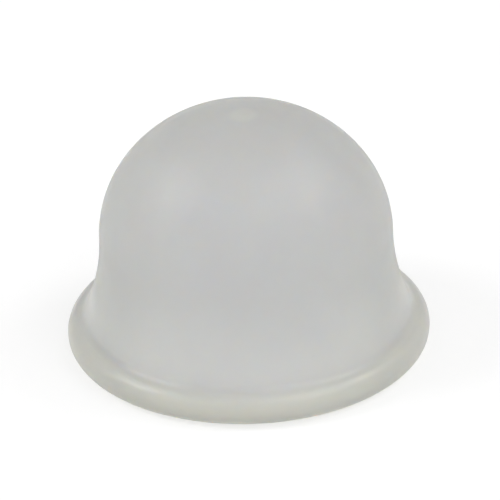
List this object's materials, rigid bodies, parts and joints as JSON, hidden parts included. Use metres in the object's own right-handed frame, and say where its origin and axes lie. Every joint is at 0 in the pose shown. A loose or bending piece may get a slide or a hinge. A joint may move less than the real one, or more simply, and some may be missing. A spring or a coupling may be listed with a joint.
{
  "type": "primer bulb",
  "caption": "Soft milky domed bulb with an open base and a rounded rim, pressed by a thumb to draw fuel into a small engine's carburettor.",
  "frame": {"origin": "centre of the flat seat under the rim, on the bulb's axis, where it rests", "axes": "+Z along the bulb's axis from the seat to the crown; the part is round, so X and Y are free"},
  "size_m": [0.0222, 0.0222, 0.0155],
  "materials": {
    "bulb": "satin, milky translucent"
  },
  "bodies": {
    "root": {"primer_bulb": "bulb"}
  },
  "joints": []
}
